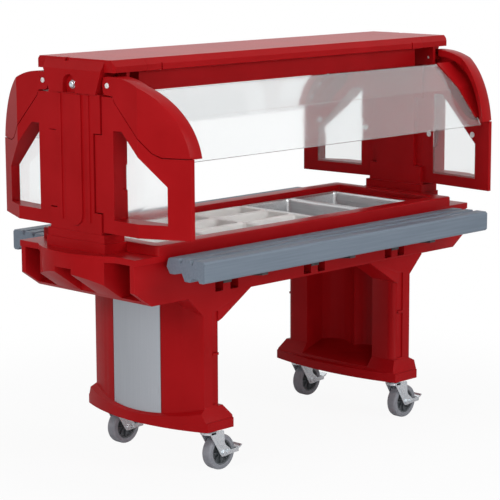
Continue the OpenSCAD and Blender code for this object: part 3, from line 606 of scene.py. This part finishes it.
def makeCasterPlates():
    c = topPlate
    (hx, hy), ease = c["half"], c["ease"]
    bm = bmesh.new()
    for mx, my in casters["middles"]:
        loft(bm, [roundedPlan(hx - ease, hy - ease, c["corner"] - ease, c["low"], (mx, my)),
                  roundedPlan(hx, hy, c["corner"], c["low"] + ease, (mx, my)),
                  roundedPlan(hx, hy, c["corner"], c["high"], (mx, my))])
        turned(bm, c["race"], (mx, my, 0), steps=c["raceSteps"], closed=True)
        for sx in (-1, 1):
            for sy in (-1, 1):
                spot = Vector((mx + sx * c["boltAt"][0], my + sy * c["boltAt"][1], c["low"]))
                turned(bm, c["washer"], spot, (0, 0, -1), c["washerSteps"])
                hexHead(bm, spot - Vector((0, 0, c["boltSeat"])), (0, 0, -1), *c["bolt"])
    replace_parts(addPiece("casterTopPlates", bm, "zinc_plate", "frame"), "caster_plates")


yokeTop = 0.1737
yoke = {
    # outlines are (along, height, corner radius) from the kingpin
    "leg": [(-0.025, yokeTop, 0.006), (0.060, yokeTop, 0.010), (0.065, 0.110, 0.030), (0.097, 0.086, 0.010),
            (0.0955, 0.063, 0.009), (0.074, 0.059, 0.012), (0.046, 0.059, 0.014), (0.037, 0.073, 0.012)],
    "legIn": 0.028,
    "legOut": 0.032,
    "bead": [(0.000, 0.160, 0.006), (0.034, 0.160, 0.008), (0.052, 0.118, 0.010), (0.050, 0.104, 0.006),
             (0.030, 0.112, 0.016)],
    "beadSunk": 0.001,
    "beadProud": 0.0014,
    "washer": [(0.0125, 0.0), (0.0125, 0.0014), (0.0118, 0.0018)],
    "nut": (0.0175, 0.0054),        # across flats, height
    "nutSeat": 0.0016,
    "brakePin": [(0.0040, 0.0), (0.0040, 0.0042), (0.0034, 0.0046)],
    "brakePinAt": (0.027, -0.003),  # from the axle
    "brakePinSunk": 0.0002,
    "crownRadius": 0.035,
    "crownLow": 0.1627,
    "crownEase": 0.002,
    "crownShrink": (0.95, 0.97),
    "crownSteps": 48,
    "kingpin": [(0.0060, 0.0), (0.0060, 0.0100), (0.0054, 0.0106)],
    "kingpinSunk": 0.001,
    "kingpinHead": (0.018, 0.005),  # across flats, height
    "axleRadius": 0.0059,
    "axleProud": 0.001,
    "pinSteps": 28,
    "smallPinSteps": (20, 24),      # brake pin, kingpin
    "edge": (0.0006, 2),
}


def makeYokeLeg(bm, mx, my, side):
    y = yoke
    near, far = side * y["legIn"], side * y["legOut"]
    axleX, axleZ = mx + casters["trail"], casters["wheelZ"]
    plate(bm, [(mx + u, v) for u, v in softOutline(y["leg"])], my + near, my + far)
    plate(bm, [(mx + u, v) for u, v in softOutline(y["bead"])],
          my + far - side * y["beadSunk"], my + far + side * y["beadProud"])
    turned(bm, y["washer"], (axleX, my + far, axleZ), (0, side, 0), y["pinSteps"])
    hexHead(bm, (axleX, my + far + side * y["nutSeat"], axleZ), (0, side, 0), *y["nut"])
    pinX, pinZ = y["brakePinAt"]
    turned(bm, y["brakePin"], (axleX + pinX, my + far - side * y["brakePinSunk"], axleZ + pinZ),
           (0, side, 0), y["smallPinSteps"][0])


def makeYoke(n):
    y = yoke
    mx, my = casters["middles"][n]
    half, low = y["legOut"], y["crownLow"]
    bm = bmesh.new()
    for side in (-1, 1):
        makeYokeLeg(bm, mx, my, side)
    crown = []
    for k in range(y["crownSteps"]):
        a = 2 * math.pi * k / y["crownSteps"]
        across = max(-half, min(half, y["crownRadius"] * math.sin(a)))
        crown.append((y["crownRadius"] * math.cos(a), across))
    shrinkX, shrinkY = y["crownShrink"]
    loft(bm, [[(mx + u, my + v, low) for u, v in crown],
              [(mx + u, my + v, yokeTop - y["crownEase"]) for u, v in crown],
              [(mx + u * shrinkX, my + v * shrinkY, yokeTop) for u, v in crown]])
    turned(bm, y["kingpin"], (mx, my, yokeTop - y["kingpinSunk"]), steps=y["smallPinSteps"][1])
    hexHead(bm, (mx, my, low), (0, 0, -1), *y["kingpinHead"])
    reach = half + y["axleProud"]
    turned(bm, [(y["axleRadius"], -reach), (y["axleRadius"], reach)],
           (mx + casters["trail"], my, casters["wheelZ"]), (0, 1, 0), y["pinSteps"])
    obj = addPiece("casterYoke%d" % (n + 1), bm, "zinc_plate", "caster_%d" % (n + 1))
    softenEdges(obj, *y["edge"])
    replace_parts(obj, "caster_yoke_%d" % (n + 1))


wheel = {
    # half profiles, from the bore outward and from the rim outward
    "core": [(0.00606, 0.0270), (0.0085, 0.0270), (0.0092, 0.0258), (0.0135, 0.0258), (0.0155, 0.0240),
             (0.0170, 0.0100), (0.0200, 0.0066), (0.0300, 0.0058), (0.0440, 0.0066), (0.0475, 0.0110),
             (0.0488, 0.0208), (0.0510, 0.0220), (0.0540, 0.0220)],
    "coreSteps": 56,
    "tyre": [(0.05415, 0.0228), (0.05565, 0.0240), (0.0645, 0.0240), (0.0655, 0.0231), (0.0665, 0.0240),
             (0.0690, 0.0239), (0.0718, 0.0228), (0.0742, 0.0206), (0.0755, 0.0174), (0.0760, 0.0140),
             (0.0760, 0.0006)],
    "tyreSteps": 96,
    "ribs": 8,
    # corners of a rib as (out, across, height), at its foot and its top
    "ribFoot": [(0.0165, -0.0030, 0.0055), (0.0165, 0.0030, 0.0055),
                (0.0478, 0.0022, 0.0055), (0.0478, -0.0022, 0.0055)],
    "ribTop": [(0.0165, -0.0018, 0.0150), (0.0165, 0.0018, 0.0150),
               (0.0478, 0.0014, 0.0175), (0.0478, -0.0014, 0.0175)],
}


def makeWheel(n):
    w = wheel
    mx, my = casters["middles"][n]
    spot = Vector((mx + casters["trail"], my, casters["wheelZ"]))
    bm = bmesh.new()
    turned(bm, mirrored(w["core"]), spot, (0, 1, 0), w["coreSteps"], closed=True)
    for k in range(w["ribs"]):
        a = 2 * math.pi * k / w["ribs"]
        ahead, across = Vector((math.cos(a), 0, math.sin(a))), Vector((-math.sin(a), 0, math.cos(a)))
        for side in (-1, 1):
            loft(bm, [[spot + ahead * out + across * wide + Vector((0, side * h, 0)) for out, wide, h in ring]
                      for ring in (w["ribFoot"], w["ribTop"])])
    obj = addPiece("wheelCore%d" % (n + 1), bm, "wheel_core", "wheel_%d" % (n + 1))
    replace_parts(obj, "wheel_core_%d" % (n + 1))
    bm = bmesh.new()
    turned(bm, mirrored(w["tyre"]), spot, (0, 1, 0), w["tyreSteps"], closed=True)
    obj = addPiece("tyre%d" % (n + 1), bm, "tyre_grey", "wheel_%d" % (n + 1))
    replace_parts(obj, "tyre_%d" % (n + 1))


makeCasterPlates()
for index in range(4):
    makeYoke(index)
    makeWheel(index)
print("casters made")

# pans with rolled flanges
pans = {
    "pitch": 0.325,
    "firstX": -0.8125,
    "rowPitch": 0.17567,
    "full": (0.322, 0.527),
    "third": (0.322, 0.17467),
    "top": 0.9873,
    "depth": 0.103,
    "sheet": 0.003,
    "heel": 0.012,          # radius between wall and floor
    # rings are (in from the pan's edge, corner radius)
    "floor": (0.0465, 0.004),
    "insideHeel": (0.0195, 0.017),
    "outsideHeel": (0.0165, 0.020),
    # from the inside wall over the rolled flange to the outside wall, with the drop from the top
    "lip": [(0.0170, 0.0175, 0.0120), (0.0159, 0.0180, 0.0030), (0.0149, 0.0185, 0.0010),
            (0.0131, 0.0190, 0.0), (0.0030, 0.0140, 0.0), (0.0009, 0.0155, 0.0007), (0.0, 0.0160, 0.0018),
            (0.0004, 0.0157, 0.0030), (0.0125, 0.0200, 0.0030), (0.0129, 0.0200, 0.0140)],
    "cornerSteps": 7,
    "sharpAngle": 40,
}


def makePan(name, node, body, size, middle, finish):
    p = pans
    low = p["top"] - p["depth"]
    rings = []

    def ring(inset, corner, z):
        rings.append(roundedPlan(size[0] / 2 - inset, size[1] / 2 - inset, corner, z, middle, p["cornerSteps"]))

    def heel(inset, corner, base, turns):
        for a in turns:
            shift = p["heel"] * (1 - math.sin(a))
            ring(inset + shift, corner - shift / 2, base + p["heel"] * (1 - math.cos(a)))
    ring(*p["floor"], low + p["sheet"])
    heel(*p["insideHeel"], low + p["sheet"], quarterTurn)
    for inset, corner, drop in p["lip"]:
        ring(inset, corner, p["top"] - drop)
    heel(*p["outsideHeel"], low, quarterTurn[::-1])
    bm = bmesh.new()
    loft(bm, rings)
    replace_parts(addPiece(name, bm, finish, body, p["sharpAngle"]), node)


for index in range(9):
    column, row = divmod(index, 3)
    place = (pans["firstX"] + (column + 0.5) * pans["pitch"], (row - 1) * pans["rowPitch"])
    makePan("thirdPan%d" % (index + 1), "third_pan_%d" % (index + 1), "third_pan_" + "abcdefghi"[index],
            pans["third"], place, "pan_white")
for index in range(2):
    place = (pans["firstX"] + (index + 3.5) * pans["pitch"], 0)
    makePan("fullPan%d" % (index + 1), "full_pan_%d" % (index + 1), "full_pan_" + "ab"[index],
            pans["full"], place, "pan_steel")
print("pans made")

# screws and bolts. Heads are radius, height, socket
fixings = {
    "windowHead": (0.0130, 0.0048, 0.0042),
    "guardHead": (0.0055, 0.0029, 0.0019),
    "sunk": 0.0001,
    "pivotLeastY": 0.1,         # the guards' pivots lie further from the middle than this
    # seats are measured in from the bolt's outer end
    "pivotHead": (0.0110, 0.0048, 0.0044),
    "pivotShank": 0.0060,
    "pivotSeat": 0.0049,
    "capHead": (0.0150, 0.0090, 0.0065),
    "capShank": 0.0080,
    "capShankEnd": 0.0135,
    "capSeat": 0.0115,
    "capWasher": [(0.0170, 0.0), (0.0170, 0.0022), (0.0164, 0.0026)],
    "capWasherSeat": 0.0139,
    "shankSteps": 28,
    "washerSteps": 36,
}


def makeScrews(name, node, body, head, heart):
    bm = bmesh.new()
    for low, high, aim in bitsOf(node):
        middle = (low + high) / 2
        outward = aim if aim.dot(middle - Vector(heart)) > 0 else -aim
        half = sum(abs(outward[i]) * (high[i] - low[i]) for i in range(3)) / 2
        reach = min(half, head[1] / 2 + fixings["sunk"])
        socketHead(bm, middle - outward * reach, outward, *head)
    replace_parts(addPiece(name, bm, slotOf[node], body), node)


def makeCanopyBolts():
    f = fixings
    pivots, locks = bmesh.new(), bmesh.new()
    for low, high, aim in bitsOf("canopy_bolts"):
        middle = (low + high) / 2
        side = 1 if middle.x > 0 else -1
        outer = max(abs(low.x), abs(high.x))
        inner = min(abs(low.x), abs(high.x))
        y, z = middle.y, middle.z
        line, steps = ((0, y, z), (side, 0, 0)), f["shankSteps"]
        if abs(y) > f["pivotLeastY"]:
            seat = outer - f["pivotSeat"]
            turned(pivots, [(f["pivotShank"], inner), (f["pivotShank"], seat)], *line, steps)
            socketHead(pivots, (side * seat, y, z), (side, 0, 0), *f["pivotHead"])
        else:
            turned(locks, [(f["capShank"], inner), (f["capShank"], outer - f["capShankEnd"])], *line, steps)
            washer = [(r, outer - f["capWasherSeat"] + h) for r, h in f["capWasher"]]
            turned(locks, washer, *line, f["washerSteps"])
            socketHead(locks, (side * (outer - f["capSeat"]), y, z), (side, 0, 0), *f["capHead"])
    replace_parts(addPiece("pivotBolts", pivots, "white_hardware", "frame"), "canopy_bolts")
    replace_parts(addPiece("capBolts", locks, "zinc_plate", "frame"), "canopy_bolts")


makeScrews("windowScrewHeads", "window_screws", "frame", fixings["windowHead"], (0, 0, 1.3))
makeScrews("frontGuardScrewHeads", "front_guard_screws", "front_guard", fixings["guardHead"], (0, -1.5, 2.6))
makeScrews("backGuardScrewHeads", "back_guard_screws", "back_guard", fixings["guardHead"], (0, 1.5, 2.6))
makeCanopyBolts()
print("screws and bolts made")

# frame nodes that keep their own shape
rounding = {
    # edge width asked for and its steps, by finish; the overlap limit can make it smaller
    "moulded_red": (0.0045, 3),
    "rail_slate": (0.0016, 2),
    "zinc_plate": (0.0008, 2),
    "pan_steel": (0.0006, 2),
    "clear_sheet": (0.0009, 2),
    "drain_fitting": (0.0008, 2),
}
# these nodes under the rail take the darker arm steel finish in place of their own: painted shade where the
# rail shades them
railShadedNodes = ("rail_brackets", "front_rail_arms", "back_rail_arms")    # darker steel in the rail's shade


def dressNode(name, obj):
    slot = slotOf[name]
    obj.data.materials.clear()
    # the darker steel on the nodes under the rail is painted shade
    obj.data.materials.append(finishes["arm_steel" if name in railShadedNodes else slot])
    if slot in rounding and not obj.hide_render:
        softenEdges(obj, *rounding[slot], weld=True)


for nodeName, nodeObject in frame["nodes"].items():
    dressNode(nodeName, nodeObject)
print("nodes dressed")
